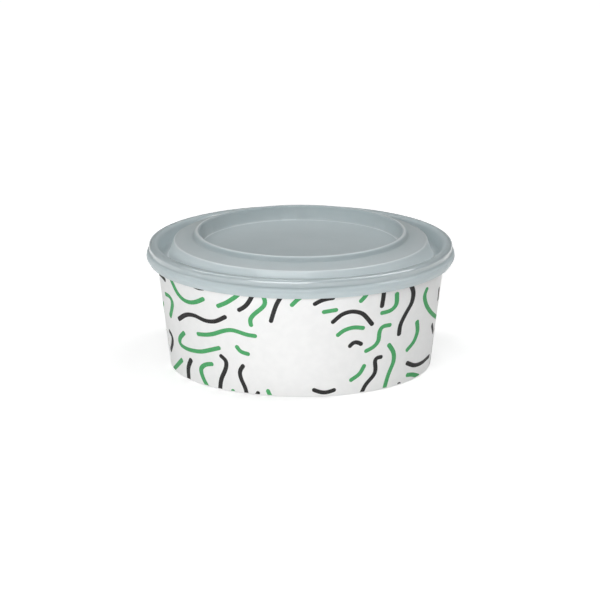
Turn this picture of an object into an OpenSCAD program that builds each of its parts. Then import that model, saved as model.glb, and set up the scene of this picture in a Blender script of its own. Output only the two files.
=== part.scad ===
// Round card salad bowl with a pressed-on stepped plastic lid. Millimetres, standing on z = 0, front towards -Y.
// The wall is one sheet of card: its top edge is rolled outward into the rim, and its bottom edge is folded
// inward and up into a hem that clasps the turned-down edge of the base disc.

/* [Bowl] */

// Outside diameter of the rolled rim
rim_d = 149; // [140:0.5:165]

// Outside diameter of the foot
foot_d = 129.5; // [118:0.5:135]

// Height of the bowl from the table to the top of the rim
bowl_h = 61; // [50:0.5:80]

// Thickness of the card of the wall
card_t = 0.45; // [0.35:0.05:0.6]

// Outside diameter of the roll that forms the rim
curl_d = 2.8; // [2.6:0.1:4]

// Width of the glued lap at the back of the wall
lap_w = 8; // [5:0.5:12]

/* [Base] */

// Thickness of the card of the base disc
base_t = 0.45; // [0.35:0.05:0.6]

// Height of the underside of the base disc above the table
base_lift = 5.5; // [4.5:0.25:8]

// Bend radius where the base disc turns down
base_bend = 1; // [0.8:0.1:1.5]

// Height of the hem inside the foot
hem_h = 4; // [2:0.25:4.2]

// Glue line on each side of the turned-down edge
glue_gap = 0.05; // [0.03:0.01:0.1]

/* [Lid] */

// Thickness of the lid
lid_t = 0.45; // [0.35:0.05:0.55]

// Gap between the top of the rim and the underside of the lid's bead
seat_gap = 0.3; // [0.2:0.05:0.5]

// Gap all round between the rim and the skirt where the skirt is narrowest
rim_clearance = 0.15; // [0.1:0.05:0.4]

// Gap between the wall of the bowl and the plug of the lid
plug_clearance = 0.4; // [0.3:0.05:0.8]

// How far the skirt reaches below the top of the rim
skirt_h = 8.6; // [8:0.2:12]

// How far the widest part of the skirt stands out past its narrowest
skirt_flare = 1.5; // [0.9:0.1:2]

// Height of the turned-in lower lip of the skirt
lip_h = 2.5; // [2:0.1:3.2]

// Depth of the groove line between the bead and the skirt
groove_dip = 0.6; // [0.2:0.1:0.9]

// How far the groove lies below the middle of the rim's roll
groove_drop = 1.6; // [0.4:0.1:1.8]

// How far the shoulder of the skirt lies below the groove
shoulder_drop = 1.1; // [0.8:0.1:1.3]

// Depth of the channel below the top of the rim
plug_depth = 6.1; // [4:0.2:9]

// Width of the channel floor
channel_w = 2.9; // [2.5:0.1:8]

// How far the outer wall of the channel slopes in below the bead
channel_draft = 1.7; // [0:0.1:3]

// Run of the sloping step inside the channel
step_run = 2.7; // [1:0.1:4]

// Height of the outer edge of the ledge above the top of the rim
ledge_rise = 2; // [1:0.1:5]

// Width of the ledge
ledge_w = 9.6; // [5:0.2:14]

// Rise of the ledge from its outer edge to the foot of the ring
ledge_slope = 1.8; // [0:0.1:3]

// Height of the ring above the inner edge of the ledge
ring_rise = 2.7; // [2:0.1:5]

// Width of the top of the ring
ring_w = 2; // [1.6:0.1:4]

// Draft run of the ring's outer wall
ring_draft = 1; // [0.5:0.1:1.5]

// Depth of the centre panel below the top of the ring
recess_depth = 7.3; // [5:0.1:9]

// Draft run of the wall round the centre panel
recess_draft = 0.6; // [0.3:0.1:1.2]

/* [Stacking lugs] */

// Number of lugs round the centre panel
lug_count = 6; // [3:1:8]

// Width of a lug
lug_w = 8; // [4:0.5:12]

// Height of a lug above the panel
lug_h = 4; // [2:0.25:4.5]

// How far a lug stands in from the wall
lug_t = 0.7; // [0.4:0.1:1.2]

// Angle of the first lug from the front
lug_turn = 7; // [0:1:59]

/* [Hidden] */

$fn = 120;

card_white = [0.95, 0.95, 0.94];
lid_grey = [0.67, 0.71, 0.72, 0.75];

rim_r = rim_d / 2;
foot_r = foot_d / 2;
corner_steps = 6;
curl_steps = 26;

// The wall's outer face runs from the foot and meets the inside of the roll as a tangent.
curl_r = curl_d / 2;
curl_in_r = curl_r - card_t;
curl_c = [rim_r - curl_r, bowl_h - curl_r];
curl_end = -130;
to_curl = curl_c - [foot_r, 0];
lean = atan2(to_curl[0], to_curl[1]) - asin(curl_in_r / norm(to_curl));

function wall_r(z) = foot_r + z * tan(lean);

// Foot: the hem's slot takes the turned-down edge of the base disc and a glue line on each side.
fold_r = card_t + 0.1;
slot = base_t + 2 * glue_gap;

function hem_r(z) = wall_r(z) - 2 * card_t - slot;
function base_edge_r(z) = wall_r(z) - card_t - glue_gap;

base_top = base_lift + base_t;
base_edge_z = card_t + glue_gap;

// Lid heights, from the top of the rim
bead_z = bowl_h + seat_gap + lid_t;
groove_z = curl_c[1] - groove_drop;
lip_z = bowl_h - skirt_h;
channel_z = bowl_h - plug_depth;
ledge_out_z = bowl_h + ledge_rise;
ledge_in_z = ledge_out_z + ledge_slope;
ring_z = ledge_in_z + ring_rise;
panel_z = ring_z - recess_depth;

// Lid radii, from the rim inward. The lip turns back in as far as the groove, so both pass over the rim.
groove_r = rim_r + rim_clearance + lid_t;
bead_r = groove_r + groove_dip;
bulge_r = groove_r + skirt_flare;
shoulder_r = groove_r + skirt_flare * 0.8;
plug_r = wall_r(channel_z) - card_t - plug_clearance - lid_t;
bead_in_r = plug_r + (bead_z - channel_z) * tan(lean);
channel_out_r = plug_r - channel_draft;
channel_in_r = channel_out_r - channel_w;
ledge_out_r = channel_in_r - step_run;
ring_foot_r = ledge_out_r - ledge_w;
ring_out_r = ring_foot_r - ring_draft;
ring_in_r = ring_out_r - ring_w;
panel_r = ring_in_r - recess_draft;

// Points of an arc of radius r about c, from angle a to angle b
function arc(c, r, a, b, n) = [for (i = [0:n]) c + r * [cos(a + (b - a) * i / n), sin(a + (b - a) * i / n)]];

function unit(v) = v / norm(v);
function flat2(p) = [p[0], p[1]];
function turned(a) = a > 180 ? a - 360 : a < -180 ? a + 360 : a;

// The rounded corner at b between a and c: b's third number is the radius
function corner(a, b, c) =
  let (
    u = unit(flat2(a) - flat2(b)),
    v = unit(flat2(c) - flat2(b)),
    half = acos(u * v) / 2,
    run = b[2] / tan(half),
    mid = flat2(b) + unit(u + v) * b[2] / sin(half),
    s = flat2(b) + u * run - mid,
    e = flat2(b) + v * run - mid,
    from = atan2(s[1], s[0]),
    sweep = turned(atan2(e[1], e[0]) - from)
  )
  arc(mid, b[2], from, from + sweep, corner_steps);

// A path through corner points, each rounded by its own radius, with plain ends
function rounded(p) =
  let (last = len(p) - 1)
  concat(
    [flat2(p[0])],
    [for (i = [1:last - 1]) each corner(p[i - 1], p[i], p[i + 1])],
    [flat2(p[last])]
  );

// The other face of a sheet of thickness t whose one face follows path p; t is positive to the right
function right_of(d) = [d[1], -d[0]];
function face_at(p, i, t) =
  let (
    last = len(p) - 1,
    into = unit(p[max(i, 1)] - p[max(i, 1) - 1]),
    out = unit(p[min(i, last - 1) + 1] - p[min(i, last - 1)]),
    n = unit(right_of(into) + right_of(out))
  )
  p[i] + n * t / (n * right_of(into));

function sheet(p, t) = concat(p, [for (i = [len(p) - 1:-1:0]) face_at(p, i, t)]);

// The card wall's outer face: down the hem, along the fold, up the wall and round the inside of the roll
wall_path = concat(
  rounded([
    [hem_r(hem_h), hem_h],
    [hem_r(0), 0, fold_r],
    [foot_r, 0, fold_r],
    [wall_r(base_top), base_top]
  ]),
  arc(curl_c, curl_in_r, 180 - lean, curl_end, curl_steps)
);

base_path = rounded([
  [0, base_top],
  [base_edge_r(base_top), base_top, base_bend],
  [base_edge_r(base_edge_z), base_edge_z]
]);

// The lid's top face, from the centre of the panel out to the lip
lid_path = rounded([
  [0, panel_z],
  [panel_r, panel_z, 0.9],
  [ring_in_r, ring_z, 0.7],
  [ring_out_r, ring_z, 0.7],
  [ring_foot_r, ledge_in_z, 0.7],
  [ledge_out_r, ledge_out_z, 0.9],
  [channel_in_r, channel_z, 1.1],
  [channel_out_r, channel_z, 2],
  [bead_in_r, bead_z, 2.2],
  [bead_r, bead_z, 1.8],
  [groove_r, groove_z, 0.3],
  [shoulder_r, groove_z - shoulder_drop, 1.5],
  [bulge_r, lip_z + lip_h, 1.4],
  [groove_r, lip_z]
]);

// A wedge of card, nothing at one edge and a full thickness at the other, where the wall's ends lap
module lap() {
  low = fold_r + 0.1;
  high = curl_c[1] - curl_r - 0.3;
  half = lap_w / 2 / wall_r(high) * 180 / PI;
  reach = rim_d;
  rotate([0, 0, 90])
    intersection() {
      difference() {
        translate([card_t / (2 * cos(half)), card_t / (2 * sin(half)), low])
          cylinder(h = high - low, r1 = wall_r(low), r2 = wall_r(high));
        cylinder(h = bowl_h, r1 = wall_r(0) - card_t / 2, r2 = wall_r(bowl_h) - card_t / 2);
      }
      linear_extrude(bowl_h)
        polygon([[0, 0], reach * [cos(half), -sin(half)], reach * [cos(half), sin(half)]]);
    }
}

module sidewall() {
  color(card_white)
    union() {
      rotate_extrude() polygon(sheet(wall_path, -card_t));
      lap();
    }
}

module base_disc() {
  color(card_white)
    rotate_extrude() polygon(sheet(base_path, base_t));
}

// One lug: a pad standing on the panel against the wall of the recess
module lug() {
  wide = lug_w / panel_r * 180 / PI;
  top_r = panel_r + lug_h * recess_draft / recess_depth;
  sunk = lid_t / 2;
  rotate([0, 0, -wide / 2])
    rotate_extrude(angle = wide)
      polygon([
        [panel_r - lug_t, panel_z - sunk],
        [panel_r + sunk, panel_z - sunk],
        [top_r + sunk, panel_z + lug_h],
        [top_r - lug_t / 2, panel_z + lug_h],
        [panel_r - lug_t, panel_z + lug_h - lug_t]
      ]);
}

module lid() {
  color(lid_grey)
    union() {
      rotate_extrude() polygon(sheet(lid_path, lid_t));
      for (i = [0:lug_count - 1])
        rotate([0, 0, lug_turn - 90 + 360 * i / lug_count]) lug();
    }
}

sidewall();
base_disc();
lid();
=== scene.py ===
"""Round card salad bowl with a stepped plastic lid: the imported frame, dressed and lit for a picture."""

import math

import bpy
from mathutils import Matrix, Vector


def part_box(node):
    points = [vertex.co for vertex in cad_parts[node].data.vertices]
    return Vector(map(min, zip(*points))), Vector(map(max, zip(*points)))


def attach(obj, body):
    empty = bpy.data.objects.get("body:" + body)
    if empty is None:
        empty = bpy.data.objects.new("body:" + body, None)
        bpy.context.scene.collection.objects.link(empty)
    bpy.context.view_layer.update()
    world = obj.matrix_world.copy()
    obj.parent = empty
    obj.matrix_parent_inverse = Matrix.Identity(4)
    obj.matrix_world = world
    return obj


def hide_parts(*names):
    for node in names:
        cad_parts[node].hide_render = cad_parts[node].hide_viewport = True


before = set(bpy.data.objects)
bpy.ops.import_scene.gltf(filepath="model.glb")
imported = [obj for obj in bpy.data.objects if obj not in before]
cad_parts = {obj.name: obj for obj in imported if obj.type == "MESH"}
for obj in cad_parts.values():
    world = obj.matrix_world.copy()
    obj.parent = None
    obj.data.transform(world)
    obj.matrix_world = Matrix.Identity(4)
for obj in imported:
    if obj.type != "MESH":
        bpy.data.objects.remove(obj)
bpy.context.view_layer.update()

MM = 0.001

# Sizes in millimetres. Heights come from the frame, and the rest from the part's source. The lugs stand
# out less than there, and two of the lid's roundings softer, for how the light falls on them.
LID_LOW, LID_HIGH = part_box("lid")
BOWL_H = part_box("sidewall")[1][2] / MM
RING_Z = LID_HIGH[2] / MM
LIP_Z = LID_LOW[2] / MM
RIM_R = 74.5
FOOT_R = 64.75
CARD_T = 0.45
CURL_R = 1.4
CURL_END = -130
HEM_H = 4.0
SLOT = 0.55
FOLD_R = 0.55
LAP_W = 8.0
BASE_TOP, BASE_T, BASE_BEND, GLUE = 5.95, 0.45, 1.0, 0.05
LID_T = 0.45
LUG_COUNT, LUG_W, LUG_H, LUG_T, LUG_TURN = 6, 8.0, 4.0, 0.25, 7.0

CURL_C = (RIM_R - CURL_R, BOWL_H - CURL_R)
CURL_IN_R = CURL_R - CARD_T
LEAN = math.atan2(CURL_C[0] - FOOT_R, CURL_C[1]) - math.asin(
    CURL_IN_R / math.hypot(CURL_C[0] - FOOT_R, CURL_C[1])
)
TAPER = math.tan(LEAN)


def wall_r(z):
    """Radius of the wall's printed face at height z."""
    return FOOT_R + z * TAPER


def ease(low, high, value):
    """0 at low, 1 at high, smooth between."""
    t = min(1, max(0, (value - low) / (high - low)))
    return t * t * (3 - 2 * t)


# Sheet sections

CORNER_STEPS = 8
SHARP_EDGE = math.radians(40)
ON_AXIS = 1e-6


def arc(centre, radius, start, end, steps):
    """Points round a centre, from one angle to another, in degrees."""
    turn = [math.radians(start + (end - start) * i / steps) for i in range(steps + 1)]
    return [(centre[0] + radius * math.cos(a), centre[1] + radius * math.sin(a)) for a in turn]


def corner(before, at, after, radius):
    """The rounded corner between two straight runs."""
    here = Vector(at)
    u = (Vector(before) - here).normalized()
    v = (Vector(after) - here).normalized()
    half = u.angle(v) / 2
    mid = here + (u + v).normalized() * radius / math.sin(half)
    first = here + u * radius / math.tan(half) - mid
    last = here + v * radius / math.tan(half) - mid
    start = math.degrees(math.atan2(first.y, first.x))
    sweep = (math.degrees(math.atan2(last.y, last.x)) - start + 180) % 360 - 180
    return arc(mid, radius, start, start + sweep, CORNER_STEPS)


def rounded(points):
    """A path through (r, z, radius) corners, with plain ends."""
    path = [points[0][:2]]
    for before, at, after in zip(points, points[1:], points[2:]):
        path += corner(before[:2], at[:2], after[:2], at[2])
    return path + [points[-1][:2]]


def filled(path, longest):
    """The same path with long straight runs cut into shorter ones."""
    out = [path[0]]
    for (r0, z0), (r1, z1) in zip(path, path[1:]):
        cuts = max(1, math.ceil(math.hypot(r1 - r0, z1 - z0) / longest))
        out += [(r0 + (r1 - r0) * i / cuts, z0 + (z1 - z0) * i / cuts) for i in range(1, cuts + 1)]
    return out


def other_face(path, thick):
    """The path's far face, thick to its right."""
    out = []
    for i, point in enumerate(path):
        first, last = max(i, 1), min(i, len(path) - 2)
        into = (Vector(path[first]) - Vector(path[first - 1])).normalized()
        away = (Vector(path[last + 1]) - Vector(path[last])).normalized()
        side = Vector((into.y, -into.x))
        normal = (side + Vector((away.y, -away.x))).normalized()
        out.append(tuple(Vector(point) + normal * thick / normal.dot(side)))
    return out


def new_piece(name, verts, faces, slots, finishes, body, slot):
    """A smooth-shaded mesh piece in metres that rides on a body."""
    mesh = bpy.data.meshes.new(name)
    mesh.from_pydata([Vector(v) * MM for v in verts], [], faces)
    for finish in finishes:
        mesh.materials.append(finish)
    mesh.polygons.foreach_set("material_index", slots)
    mesh.polygons.foreach_set("use_smooth", [True] * len(faces))
    mesh.set_sharp_from_angle(angle=SHARP_EDGE)
    mesh.update()
    piece = bpy.data.objects.new(name, mesh)
    bpy.context.collection.objects.link(piece)
    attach(piece, body)
    return piece


def even_turns(count):
    """Angles spaced evenly round the axis."""
    return [math.radians(i * 360 / count) for i in range(count)]


def turned(rows, row_slots, angles, reshape=None):
    """Verts, faces and slots of a closed section turned about the axis, from the front to the right."""
    verts, rings = [], []
    for i, (r, z) in enumerate(rows):
        ring = []
        for a in angles if r > ON_AXIS else angles[:1]:
            rr, zz = reshape(i, r, z, a) if reshape else (r, z)
            ring.append(len(verts))
            verts.append((rr * math.sin(a), -rr * math.cos(a), zz))
        rings.append(ring if len(ring) > 1 else ring * len(angles))
    faces, slots = [], []
    area = sum(r0 * z1 - r1 * z0 for (r0, z0), (r1, z1) in zip(rows, rows[1:] + rows[:1]))
    for i, low in enumerate(rings):
        high = rings[(i + 1) % len(rings)]
        for j in range(len(angles)):
            k = (j + 1) % len(angles)
            loop = list(dict.fromkeys((low[j], low[k], high[k], high[j])))
            if len(loop) > 2:
                faces.append(loop if area > 0 else loop[::-1])
                slots.append(row_slots[i])
    return verts, faces, slots


# Finishes


class Tone:
    """A shader socket that can be used in sums: each operation adds a Math node."""

    def __init__(self, finish, socket):
        self.finish, self.socket = finish, socket

    def maths(self, operation, *values):
        return self.finish.node("ShaderNodeMath", {"operation": operation}, dict(enumerate(values)))

    def __add__(self, other):
        return self.maths("ADD", self, other)

    def __sub__(self, other):
        return self.maths("SUBTRACT", self, other)

    def __rsub__(self, other):
        return self.maths("SUBTRACT", other, self)

    def __mul__(self, other):
        return self.maths("MULTIPLY", self, other)

    __radd__, __rmul__ = __add__, __mul__

    def smooth(self, low, high):
        """0 below low, 1 above high, eased between."""
        return self.finish.node(
            "ShaderNodeMapRange",
            {"interpolation_type": "SMOOTHSTEP"},
            {"Value": self, "From Min": low, "From Max": high},
        )


class Finish:
    """A material, or the world, on one shader. node() adds any node and returns its output as a Tone."""

    def __init__(self, owner, shader="Principled BSDF", **fixed):
        self.owner = bpy.data.materials.new(owner) if isinstance(owner, str) else owner
        self.owner.use_nodes = True
        self.tree = self.owner.node_tree
        self.shader = self.tree.nodes[shader]
        self.set(**fixed)

    def feed(self, socket, value):
        if isinstance(value, Tone):
            self.tree.links.new(value.socket, socket)
        else:
            socket.default_value = value

    def node(self, kind, settings=None, inputs=None, out=0):
        made = self.tree.nodes.new(kind)
        for key, value in (settings or {}).items():
            if key == "stops":
                stops = made.color_ramp.elements
                for _ in value[2:]:
                    stops.new(1)
                for stop, (at, shade) in zip(stops, value):
                    stop.position, stop.color = at, (shade, shade, shade, 1)
            else:
                setattr(made, key, value)
        for key, value in (inputs or {}).items():
            self.feed(made.inputs[key], value)
        return Tone(self, made.outputs[out])

    def place(self):
        """The piece's own coordinates, in metres."""
        return self.node("ShaderNodeTexCoord", out="Object")

    def grain(self, scale, detail=2.0, rough=0.5, place=None):
        """Noise from 0 to 1, with features about 1/scale of a metre across."""
        return self.node(
            "ShaderNodeTexNoise",
            inputs={"Vector": place or self.place(), "Scale": scale, "Detail": detail, "Roughness": rough},
        )

    def ramp(self, along, stops):
        """Greys from 0 to 1 at stops along a tone."""
        return self.node("ShaderNodeValToRGB", {"stops": stops}, {"Fac": along})

    def stretched(self, x, y, z):
        """Coordinates scaled unevenly, for grain that runs one way."""
        return self.node("ShaderNodeMapping", inputs={"Vector": self.place(), "Scale": (x, y, z)})

    def length(self, vector):
        """How long a vector is."""
        return self.node("ShaderNodeVectorMath", {"operation": "LENGTH"}, {0: vector}, out="Value")

    def blend(self, share, first, second):
        """A colour between two, by share."""
        return self.node("ShaderNodeMix", {"data_type": "RGBA"}, {0: share, 6: first, 7: second}, out=2)

    def set(self, **values):
        """Feeds the shader's sockets with tones or plain values, and returns the material or world."""
        for key, value in values.items():
            self.feed(self.shader.inputs[key.replace("_", " ")], value)
        return self.owner

    def seen(self):
        """1 for what the camera sees, plainly or in a reflection, and 0 for what lights the object."""
        kinds = ("Camera", "Glossy", "Transmission")
        plain, mirrored, through = [self.node("ShaderNodeLightPath", out=f"Is {kind} Ray") for kind in kinds]
        return plain.maths("MAXIMUM", plain, mirrored.maths("MAXIMUM", mirrored, through))

    def bumps(self, height, depth_mm, under=None):
        """A normal from a height of 0 to 1, depth_mm deep."""
        inputs = {"Height": height, "Distance": depth_mm * MM, "Strength": 1.0}
        if under:
            inputs["Normal"] = under
        return self.node("ShaderNodeBump", inputs=inputs)


def card(name, light, dark, rough, gloss):
    """Coated white board: faint mottle, and fibres that show through the coating."""
    finish = Finish(name, Specular_IOR_Level=gloss)
    mottle = finish.grain(260, 3.0)
    fibre = finish.grain(2600, 3.0, 0.6)
    pores = finish.grain(700, 2.0)
    return finish.set(
        Base_Color=finish.blend(mottle.smooth(0.3, 0.7), dark, light),
        Roughness=rough + 0.12 * (pores - 0.5) + 0.08 * (fibre - 0.5),
        Normal=finish.bumps(fibre, 0.012, finish.bumps(pores, 0.02)),
    )


def cut_edge(name):
    """The board's raw edge: pressed layers of fibre."""
    finish = Finish(name, Specular_IOR_Level=0.2)
    layers = finish.grain(1.0, 2.0, 0.6, finish.stretched(900, 900, 5200))
    return finish.set(
        Base_Color=finish.blend(layers, (0.66, 0.6, 0.5, 1), (0.9, 0.87, 0.82, 1)),
        Roughness=0.75 + 0.15 * (layers - 0.5),
        Normal=finish.bumps(layers, 0.03),
    )


def ink(name, thin, full):
    """Printed ink, a little uneven where the board's pores take more of it."""
    finish = Finish(name, Specular_IOR_Level=0.06)
    patchy = finish.grain(900, 3.0)
    pores = finish.grain(3000, 2.0)
    return finish.set(
        Base_Color=finish.blend(patchy.smooth(0.3, 0.65), thin, full),
        Roughness=0.55 + 0.12 * (pores - 0.5),
        Normal=finish.bumps(pores, 0.008),
    )


# Millimetres out along the lid's sheet, and there: how pale it is, how far it hides what is behind it, and
# how glossy its skin is. The paleness is painted light and shade: pale lines along the panel, ring and ledge
# edges are painted highlights, the bright step wall, the ledge growing paler towards it and the paler skirt
# are painted light, and the darker ring wall, channel, bead and groove are painted shade. The sheet is
# measured by its radius as far as the bead, and then down the skirt.
LID_LOOK = [
    (0, 0.45, 0.7, 0.25),
    (48.5, 0.45, 0.7, 0.25),
    (48.95, 1, 0.85, 0.3),
    (49.25, 0.72, 0.6, 0.3),
    (50.3, 0.58, 0.55, 0.2),
    (50.7, 0.35, 0.5, 0.2),
    (51.4, 0.9, 0.9, 0.8),
    (52, 0.85, 0.9, 1),
    (52.4, 0.46, 0.8, 0.35),
    (52.7, 0.32, 0.66, 0),
    (53.2, 0.34, 0.66, 0),
    (53.8, 0.5, 0.62, 0.4),
    (54.5, 0.54, 0.68, 0.5),
    (60.5, 0.66, 0.72, 0.6),
    (62.2, 0.64, 0.72, 0.6),
    (62.6, 1, 0.9, 1),
    (63, 0.66, 0.97, 0.15),
    (64.2, 0.72, 0.97, 0.05),
    (65.8, 0.95, 0.95, 0.05),
    (66.5, 0.6, 0.85, 0.5),
    (68, 0.44, 0.8, 0.4),
    (70.5, 0.4, 0.75, 0.3),
    (72, 0.34, 0.85, 0.3),
    (74.2, 0.34, 0.85, 0.9),
    (76, 0.36, 0.85, 1),
    (77.2, 0.42, 0.82, 1),
    (78.4, 0.36, 0.8, 0.5),
    (79.4, 0.34, 0.8, 0.2),
    (80.4, 0.48, 0.85, 0.15),
    (85, 0.48, 0.9, 0.15),
]
LID_SPAN = LID_LOOK[-1][0]
BEAD_FROM, BEAD_TO, BEAD_CREST = 74.0 * MM, 74.6 * MM, 61.9 * MM
# The lid's tint at the shaded and the lit end of the painted light and shade.
LID_DEEP = (0.357, 0.43, 0.45, 1)
LID_PALE = (0.815, 0.89, 0.91, 1)


def frosted_plastic(name):
    """Thin plastic that hides more of what is behind it along its bends and over the card, with painted light
    and shade in its colour: flow marks, fine grain and a smooth skin.
    """
    finish = Finish(
        name,
        IOR=1.5,
        Coat_IOR=2.2,
        Coat_Roughness=0.05,
        Subsurface_Weight=1.0,
        Subsurface_Radius=(1.0, 1.0, 1.0),
        Subsurface_Scale=0.0008,
    )
    out = finish.length(finish.stretched(1, 1, 0))
    up = finish.node("ShaderNodeSeparateXYZ", inputs={"Vector": finish.place()}, out="Z")
    along = (out + out.smooth(BEAD_FROM, BEAD_TO) * (BEAD_CREST - up)) * (1 / (LID_SPAN * MM))
    painted_shading, milk, gloss = [
        finish.ramp(along, [(row[0] / LID_SPAN, row[k]) for row in LID_LOOK]) for k in (1, 2, 3)
    ]
    flow = finish.grain(1.0, 3.0, 0.55, finish.stretched(55, 55, 140))
    matt = finish.grain(2400, 2.0)
    return finish.set(
        # The colour runs from deep to pale by the table's painted light and shade, with a little random tone
        # from the flow marks.
        Base_Color=finish.blend(painted_shading + 0.05 * (flow - 0.5), LID_DEEP, LID_PALE),
        Alpha=milk + 0.05 * (flow - 0.5),
        Roughness=0.62 - 0.24 * gloss + 0.06 * (flow - 0.5) + 0.04 * (matt - 0.5),
        Coat_Weight=gloss * (0.92 + 0.15 * (flow - 0.5)),
        Normal=finish.bumps(flow, 0.05, finish.bumps(matt, 0.003)),
    )


PRINT_CARD = card("printed card", (0.9, 0.9, 0.895, 1), (0.875, 0.876, 0.872, 1), rough=0.5, gloss=0.35)
INNER_CARD = card("coated card inside", (0.9, 0.9, 0.89, 1), (0.87, 0.87, 0.86, 1), rough=0.34, gloss=0.5)
RAW_EDGE = cut_edge("raw card edge")
GREEN_INK = ink("green ink", (0.1, 0.42, 0.165, 1), (0.085, 0.385, 0.145, 1))
BLACK_INK = ink("black ink", (0.046, 0.045, 0.045, 1), (0.036, 0.035, 0.035, 1))
LID_PLASTIC = frosted_plastic("frosted lid plastic")


# Camera: a long lens from in front, 15 degrees up. Its focus is in the photograph's pixels.

RISE = math.radians(15.2)
FAR = 2307.0
PHOTO_W = 600
PIXEL_FOCUS = 4631.0
SENSOR_W = 36.0
AIM = Vector((-0.3, 0.0, 31.5))
TO_EYE = Vector((0, -math.cos(RISE), math.sin(RISE)))
UP = Vector((0, math.sin(RISE), math.cos(RISE)))
EYE = AIM + TO_EYE * FAR

camera = bpy.data.objects.new("camera", bpy.data.cameras.new("camera"))
camera.data.sensor_width = SENSOR_W
camera.data.lens = SENSOR_W * PIXEL_FOCUS / PHOTO_W
camera.data.clip_start, camera.data.clip_end = 0.05, 20
camera.location = EYE * MM
camera.rotation_euler = TO_EYE.to_track_quat("Z", "Y").to_euler()
bpy.context.collection.objects.link(camera)
bpy.context.scene.camera = camera


def on_wall(x, y):
    """Where a pixel of the photograph falls on the wall: degrees from the front to the right, and height."""
    middle = PHOTO_W / 2
    way = -TO_EYE * PIXEL_FOCUS + Vector((1, 0, 0)) * (x - middle) + UP * (middle - y)
    way.normalize()
    r0, dr = wall_r(EYE.z), TAPER * way.z
    a = way.x**2 + way.y**2 - dr**2
    b = EYE.x * way.x + EYE.y * way.y - r0 * dr
    c = EYE.x**2 + EYE.y**2 - r0**2
    hit = EYE + way * ((-b - math.sqrt(max(b * b - a * c, 0.0))) / a)
    return math.degrees(math.atan2(hit.x, -hit.y)), hit.z


# Card wall: hem, fold, wall and roll as one sheet

STRAIGHT_Z = 8
CURL_STEPS = 40
WALL_STEP = 2.5
WALL_TURNS = 240

wall_face = rounded(
    [
        (wall_r(HEM_H) - 2 * CARD_T - SLOT, HEM_H),
        (FOOT_R - 2 * CARD_T - SLOT, 0, FOLD_R),
        (FOOT_R, 0, FOLD_R),
        (wall_r(STRAIGHT_Z), STRAIGHT_Z),
    ]
) + arc(CURL_C, CURL_IN_R, 180 - math.degrees(LEAN), CURL_END, CURL_STEPS)
wall_face = filled(wall_face, WALL_STEP)
wall_back = other_face(wall_face, -CARD_T)

# The lap fades out at its lower and upper end. Its cuts, and how far the even turns keep off its middle, are
# shares of its half width.
LAP_HALF = LAP_W / 2 / wall_r(BOWL_H)
LAP_LOW, LAP_HIGH = FOLD_R + 0.1, CURL_C[1] - CURL_R - 0.3
LAP_FADE = 1.5
LAP_CUTS = (-1, -0.75, -0.5, -0.25, 0, 0.25, 0.5, 0.75, 0.9999, 1.002)
LAP_CLEAR = 1.1


def lap_rise(a, z):
    """How far the lapped card stands out: nothing at one edge of the lap, a full sheet at its cut edge."""
    along = (a % (2 * math.pi) - math.pi + LAP_HALF) / (2 * LAP_HALF)
    if not 0 <= along <= 1:
        return 0.0
    ends = min(1, max(0, (z - LAP_LOW) / LAP_FADE)) * min(1, max(0, (LAP_HIGH - z) / LAP_FADE))
    return CARD_T * along * ends


def wall_angles():
    """Even turns, with a pair close together at the lap's cut edge."""
    clear = [a for a in even_turns(WALL_TURNS) if abs(a - math.pi) > LAP_HALF * LAP_CLEAR]
    return sorted(clear + [math.pi + LAP_HALF * cut for cut in LAP_CUTS])


def wall_shape(i, r, z, a):
    """Raises the lap on the wall's outer face."""
    outer = i < len(wall_face) and r > wall_r(z) - CARD_T / 2
    return (r + lap_rise(a, z), z) if outer and z < LAP_HIGH else (r, z)


wall_rows = wall_face + wall_back[::-1]
row_slots = [0] * (len(wall_face) - 1) + [2] + [1] * (len(wall_back) - 1) + [2]
sidewall = new_piece(
    "card_wall",
    *turned(wall_rows, row_slots, wall_angles(), wall_shape),
    [PRINT_CARD, INNER_CARD, RAW_EDGE],
    "bowl",
    "card_wall",
)
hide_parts("sidewall")

# Print: round-ended strokes on the wall, in two inks

STROKE_W = 2.1
FLAT_R = 68.5
INK_LIFT, INK_ROOT = 0.03, -0.02
INK_ACROSS = (1, 0.5, 0, -0.5, -1)
CAP_TURNS = [math.radians(a) for a in (18, 36, 54, 72, 86)]
PRINT_LOW, PRINT_HIGH = 0.7, 54.6
PIXEL_STEP, PIXEL_PASSES = 1.0, 14
PATH_STEP, PATH_PASSES = 0.6, 6

# Angles from the front, in radians, and the most that a stroke widens
SPREAD_MOST = 1.7
SPREAD_FADE, SPREAD_END = 1.3, 1.55
COPY_FROM, COPY_CLEAR = 1.15, 1.4

# Round the sides and back: the least points of a stroke that is used again, the gap between strokes, and the
# turns in degrees at which the front's strokes are tried
COPY_POINTS = 8
STROKE_GAP = 4.2
COPY_TURNS = (120, 240, 180, 150, 210, 90, 270, 105, 255, 135, 225, 165, 195, 172, 188, 158, 202)

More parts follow.
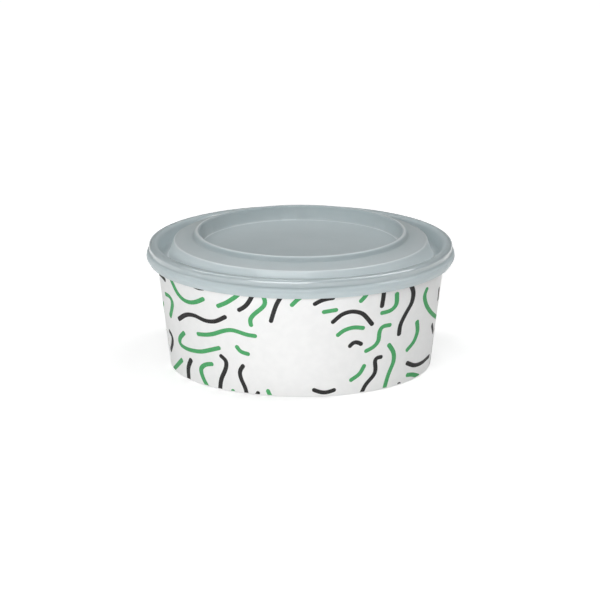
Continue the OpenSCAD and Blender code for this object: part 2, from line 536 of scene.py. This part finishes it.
# Each stroke runs through pixels of the photograph, which fall on the wall's front.
GREEN_STROKES = [
    [(168, 273), (172, 282), (177, 293), (183, 300), (190, 303), (197, 302), (203, 299)],
    [(165.5, 294), (170, 296), (173, 303), (170.5, 316)],
    [(162, 311), (163.5, 303)],
    [(218, 306), (226, 303), (237, 296), (242, 290)],
    [(251, 325), (249, 320), (254, 314), (261, 309), (266, 304), (264, 297), (260, 292)],
    [(292, 305), (298, 299), (306, 294)],
    [(198, 334), (206, 335), (214, 334), (222, 331), (231, 329.5), (239, 332), (247, 335), (255, 336)],
    [(184, 333), (179, 338), (180, 345), (189, 350), (201, 352), (219, 348)],
    [(237, 347), (240, 352), (248, 354)],
    [(174, 369), (182, 360)],
    [(212, 364), (205, 364), (200, 368), (203, 378), (208, 387), (210, 392)],
    [(233, 391), (236, 398)],
    [(268, 391), (270, 396), (275, 402)],
    [(361, 301), (366, 296), (369, 290)],
    [(324, 312), (336, 310)],
    [(338, 335), (344, 330), (354, 327), (363, 328)],
    [(366, 351), (374, 347), (379, 341), (379, 332), (382, 326), (390, 325)],
    [(382, 313), (391, 311), (397, 305), (397, 294)],
    [(427, 289), (424, 296), (426, 305), (431, 313), (436, 317)],
    [(417, 322), (418, 331), (414, 342), (407, 350)],
    [(389, 345), (394, 352), (394, 361), (388, 375), (384, 389), (384, 394)],
    [(351, 380), (360, 374), (364, 366)],
    [(407, 375), (412, 374), (418, 376)],
]
BLACK_STROKES = [
    [(159, 273), (162, 276), (165, 280)],
    [(191, 284), (196, 288), (203, 289), (209, 286)],
    [(239, 310), (245, 307), (249, 302), (252, 296), (255, 290)],
    [(271, 321), (273, 314), (276, 305), (280, 298), (285, 292)],
    [(179, 319), (186, 314), (194, 315), (205, 321), (215, 322), (225, 317)],
    [(169.5, 331), (172.5, 336), (173, 342), (171, 350)],
    [(191, 360), (188, 367), (189, 380)],
    [(221, 356), (227, 361), (226, 369), (221, 379), (220, 391)],
    [(243, 366), (239, 371), (241, 379), (246, 389), (247, 396)],
    [(258, 393), (255, 400)],
    [(314, 390), (319, 392), (324, 393), (329, 392), (334, 390)],
    [(315, 304), (320, 301), (326, 299), (333, 298)],
    [(333, 322), (342, 314), (352, 311), (363, 313), (372, 324)],
    [(350, 346), (352, 343), (356, 341), (361, 344)],
    [(382, 306), (384, 294), (384, 287)],
    [(399, 334), (400, 325), (406, 313), (412, 303), (414, 293), (412, 286), (408, 281)],
    [(439, 289), (438, 299)],
    [(432, 325), (433, 332)],
    [(381, 357), (376, 357), (374, 361), (376, 367), (375, 374), (365, 385), (361, 394)],
    [(407, 363), (414, 366), (422, 363), (429, 356)],
    [(399, 384), (396, 390)],
]


def smoothed(path, passes):
    """The path with its kinks averaged out and its ends kept."""
    for _ in range(passes):
        path[1:-1] = [(a + 2 * b + c) / 4 for a, b, c in zip(path, path[1:], path[2:])]
    return path


def evenly(path, gap):
    """The path cut into even steps."""
    out = [path[0]]
    for a, b in zip(path, path[1:]):
        cuts = max(1, round((b - a).length / gap))
        out += [a.lerp(b, i / cuts) for i in range(1, cuts + 1)]
    return out


def laid_flat(pixels):
    """A smooth path on the wall, rolled out flat, that passes near pixels of the photograph."""
    seen = smoothed(evenly([Vector(p) for p in pixels], PIXEL_STEP), PIXEL_PASSES)
    flat = [on_wall(*p) for p in seen]
    path = [Vector((math.radians(a) * FLAT_R, z)) for a, z in flat if z < PRINT_HIGH - STROKE_W / 2]
    return smoothed(evenly(path, PATH_STEP), PATH_PASSES)


def front_spread(x):
    """How far the front's strokes widen towards the sides, where they are seen at a slant."""
    a = abs(x) / FLAT_R
    slant = min(1 / max(math.cos(a), 0.1), SPREAD_MOST)
    return 1 + (slant - 1) * (1 - ease(SPREAD_FADE, SPREAD_END, a))


def plain_spread(x):
    """Strokes round the sides and back keep one width."""
    return 1.0


def ribbon(path, spread):
    """Steps along a round-ended stroke, as middle and way to the edge. Spread widens it along the wall."""
    end = len(path) - 1
    ways = [(path[min(i + 1, end)] - path[max(i - 1, 0)]).normalized() for i in range(len(path))]
    half = STROKE_W / 2
    caps = [(half * math.sin(a), half * math.cos(a)) for a in CAP_TURNS]
    steps = [(path[0] - ways[0] * reach, ways[0], wide) for reach, wide in reversed(caps)]
    steps += [(p, w, half) for p, w in zip(path, ways)]
    steps += [(path[-1] + ways[-1] * reach, ways[-1], wide) for reach, wide in caps]
    return [(p, Vector((-w.y * spread(p.x), w.x)) * h) for p, w, h in steps]


def on_card(flat, lift):
    """A point of the flat print on the wall's outer face."""
    a, z = flat.x / FLAT_R, min(PRINT_HIGH, max(PRINT_LOW, flat.y))
    r = wall_r(z) + lap_rise(a, z) + lift
    return (r * math.sin(a), -r * math.cos(a), z)


def round_off(x):
    """A length round the wall, brought to within half a turn of the front."""
    half = math.pi * FLAT_R
    return (x + half) % (2 * half) - half


def apart(path, placed):
    """True if a stroke keeps clear of the front, of the lap's cut edge and of the strokes already printed."""
    edge = (math.pi + LAP_HALF) * FLAT_R
    if any(abs(round_off(p.x)) < COPY_CLEAR * FLAT_R for p in path):
        return False
    if any(abs(round_off(p.x - edge)) < STROKE_GAP / 2 for p in path):
        return False
    return not any(
        math.hypot(round_off(p.x - q.x), p.y - q.y) < STROKE_GAP
        for other in placed
        for q in other[::2]
        for p in path[::2]
    )


def print_round():
    """Each stroke's ink, path and spread: the front, and its strokes again round the sides and back."""
    front = [("green", laid_flat(pixels), front_spread) for pixels in GREEN_STROKES]
    front += [("black", laid_flat(pixels), front_spread) for pixels in BLACK_STROKES]
    inked = list(front)
    for turn in COPY_TURNS:
        move = Vector((math.radians(turn) * FLAT_R, 0))
        for colour, path, _ in front:
            if len(path) <= COPY_POINTS or max(abs(p.x) for p in path) >= COPY_FROM * FLAT_R:
                continue
            moved = [p + move for p in path]
            if apart(moved, [other for _, other, _ in inked]):
                inked.append((colour, moved, plain_spread))
    return inked


def print_piece(name, strokes, finish):
    """Thin closed films of ink on the card."""
    verts, faces = [], []
    row = len(INK_ACROSS) + 2
    for _, path, spread in strokes:
        first = len(verts)
        for p, side in ribbon(path, spread):
            verts += [on_card(p + side * across, INK_LIFT) for across in INK_ACROSS]
            verts += [on_card(p - side, INK_ROOT), on_card(p + side, INK_ROOT)]
        for i in range(first, len(verts) - row, row):
            for k in range(row):
                j = (k + 1) % row
                faces.append((i + k, i + j, i + row + j, i + row + k))
        faces.append(tuple(range(first + row - 1, first - 1, -1)))
        faces.append(tuple(range(len(verts) - row, len(verts))))
    return new_piece(name, verts, faces, [0] * len(faces), [finish], "bowl", "card_wall")


printed = print_round()
print_piece("green_print", [each for each in printed if each[0] == "green"], GREEN_INK)
print_piece("black_print", [each for each in printed if each[0] == "black"], BLACK_INK)

# Base disc: its edge turned down into the hem

BASE_STEP = 8
BASE_TURNS = 180

base_face = rounded(
    [
        (0, BASE_TOP),
        (wall_r(BASE_TOP) - CARD_T - GLUE, BASE_TOP, BASE_BEND),
        (wall_r(CARD_T + GLUE) - CARD_T - GLUE, CARD_T + GLUE),
    ]
)
base_face = filled(base_face, BASE_STEP)
base_back = other_face(base_face, BASE_T)
base_disc = new_piece(
    "base_card",
    *turned(
        base_face + base_back[::-1],
        [0] * (len(base_face) - 1) + [2] + [1] * len(base_back),
        even_turns(BASE_TURNS),
    ),
    [INNER_CARD, PRINT_CARD, RAW_EDGE],
    "bowl",
    "card_base",
)
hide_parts("base_disc")

# Lid: one sheet from the centre panel to the lip

SEAT_GAP, RIM_GAP, PLUG_GAP = 0.3, 0.15, 0.4
PLUG_DEPTH = 6.1
CHANNEL_DRAFT, CHANNEL_W = 1.7, 2.9
STEP_RUN = 2.7
LEDGE_RISE, LEDGE_W, LEDGE_SLOPE = 2.0, 9.6, 1.8
RING_DRAFT, RING_W = 1.0, 2.0
RECESS_DEPTH, RECESS_DRAFT = 7.3, 0.6
GROOVE_DIP, GROOVE_DROP = 0.6, 1.6
SHOULDER_OUT, SHOULDER_DROP = 1.2, 2.7
SKIRT_FLARE, LIP_H = 1.5, 2.5
LID_STEP = 1.6
LID_TURNS = 360

BEAD_Z = BOWL_H + SEAT_GAP + LID_T
CHANNEL_Z = BOWL_H - PLUG_DEPTH
LEDGE_Z = BOWL_H + LEDGE_RISE
PANEL_Z = RING_Z - RECESS_DEPTH
GROOVE_R = RIM_R + RIM_GAP + LID_T
PLUG_R = wall_r(CHANNEL_Z) - CARD_T - PLUG_GAP - LID_T
CHANNEL_OUT = PLUG_R - CHANNEL_DRAFT
CHANNEL_IN = CHANNEL_OUT - CHANNEL_W
LEDGE_OUT = CHANNEL_IN - STEP_RUN
RING_FOOT = LEDGE_OUT - LEDGE_W
RING_OUT = RING_FOOT - RING_DRAFT
RING_IN = RING_OUT - RING_W
PANEL_R = RING_IN - RECESS_DRAFT

lid_face = rounded(
    [
        (0, PANEL_Z),
        (PANEL_R, PANEL_Z, 0.9),
        (RING_IN, RING_Z, 0.7),
        (RING_OUT, RING_Z, 1.0),
        (RING_FOOT, LEDGE_Z + LEDGE_SLOPE, 0.7),
        (LEDGE_OUT, LEDGE_Z, 0.9),
        (CHANNEL_IN, CHANNEL_Z, 1.1),
        (CHANNEL_OUT, CHANNEL_Z, 2.0),
        (PLUG_R + (BEAD_Z - CHANNEL_Z) * TAPER, BEAD_Z, 2.2),
        (GROOVE_R + GROOVE_DIP, BEAD_Z, 1.8),
        (GROOVE_R, CURL_C[1] - GROOVE_DROP, 0.6),
        (GROOVE_R + SHOULDER_OUT, CURL_C[1] - SHOULDER_DROP, 1.5),
        (GROOVE_R + SKIRT_FLARE, LIP_Z + LIP_H, 1.4),
        (GROOVE_R, LIP_Z),
    ]
)
lid_face = [lid_face[0]] + filled(lid_face[1:], LID_STEP)
lid_back = other_face(lid_face, LID_T)
lid_rows = lid_face + lid_back[::-1]

# Lugs: the reach of the wall's sheet beyond its top edge, and the runs of their soft side, top and foot
LUG_BAND = 0.5
LUG_SIDE_IN, LUG_SIDE_OUT = 0.7, 0.2
LUG_TOP_RUN = 1
LUG_FOOT_FAR, LUG_FOOT_NEAR = 2.4, 0.8


def lid_shape(i, r, z, a):
    """Presses the stacking lugs into the wall round the panel."""
    if not PANEL_R - LUG_FOOT_FAR < r < RING_IN + LUG_BAND:
        return r, z
    step = 2 * math.pi / LUG_COUNT
    off = (a - math.radians(LUG_TURN) + step / 2) % step - step / 2
    edge, top = LUG_W / 2, PANEL_Z + LUG_H
    side = 1 - ease(edge - LUG_SIDE_IN, edge + LUG_SIDE_OUT, abs(off) * PANEL_R)
    height = ease(top, top - LUG_TOP_RUN, z)
    near = ease(PANEL_R - LUG_FOOT_FAR, PANEL_R - LUG_FOOT_NEAR, r)
    return r - LUG_T * side * height * near, z


lid = new_piece(
    "stepped_lid",
    *turned(lid_rows, [0] * len(lid_rows), even_turns(LID_TURNS), lid_shape),
    [LID_PLASTIC],
    "lid",
    "lid_plastic",
)
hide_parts("lid")

# Floor, light and background, in metres. To the camera the floor is whiter further out.

FLOOR_HALF = 12
GLOW_NEAR, GLOW_FAR = 0.15, 0.9
BLACK, WHITE = (0, 0, 0, 1), (1, 1, 1, 1)
LAMP_AIM = Vector((0, 0, 0.035))

floor_finish = Finish("pale floor", Roughness=0.8, Emission_Strength=1.0)
away = floor_finish.length(floor_finish.place()).smooth(GLOW_NEAR, GLOW_FAR)
floor_finish.set(
    Base_Color=floor_finish.blend(floor_finish.grain(6, 2.0), (0.93, 0.93, 0.93, 1), (0.95, 0.95, 0.95, 1)),
    Emission_Color=floor_finish.blend(floor_finish.seen() * (0.36 + 0.19 * away), BLACK, WHITE),
)
mesh = bpy.data.meshes.new("floor")
corners = [(x * FLOOR_HALF, y * FLOOR_HALF, 0) for x, y in ((-1, -1), (1, -1), (1, 1), (-1, 1))]
mesh.from_pydata(corners, [], [(0, 1, 2, 3)])
mesh.materials.append(floor_finish.owner)
floor = bpy.data.objects.new("floor", mesh)
bpy.context.collection.objects.link(floor)


def softbox(name, azimuth, rise, distance, wide, tall, watts):
    """A lamp that faces the bowl: degrees from the front to the right, and up."""
    a, e = math.radians(azimuth), math.radians(rise)
    way = Vector((math.sin(a) * math.cos(e), -math.cos(a) * math.cos(e), math.sin(e)))
    lamp = bpy.data.objects.new(name, bpy.data.lights.new(name, "AREA"))
    lamp.data.shape = "RECTANGLE"
    lamp.data.size, lamp.data.size_y, lamp.data.energy = wide, tall, watts
    lamp.location = LAMP_AIM + way * distance
    lamp.rotation_euler = way.to_track_quat("Z", "Y").to_euler()
    bpy.context.collection.objects.link(lamp)


softbox("front", azimuth=-15, rise=18, distance=1.8, wide=1.5, tall=0.6, watts=19.4)
softbox("left strip", azimuth=-112, rise=64, distance=1.5, wide=0.24, tall=1.5, watts=6.8)
softbox("right strip", azimuth=98, rise=58, distance=1.5, wide=0.24, tall=1.5, watts=9.1)

studio = Finish(bpy.data.worlds.new("studio"), "Background", Color=WHITE, Strength=0.14)
bpy.context.scene.world = studio.owner

bpy.context.scene.view_settings.view_transform = "Standard"
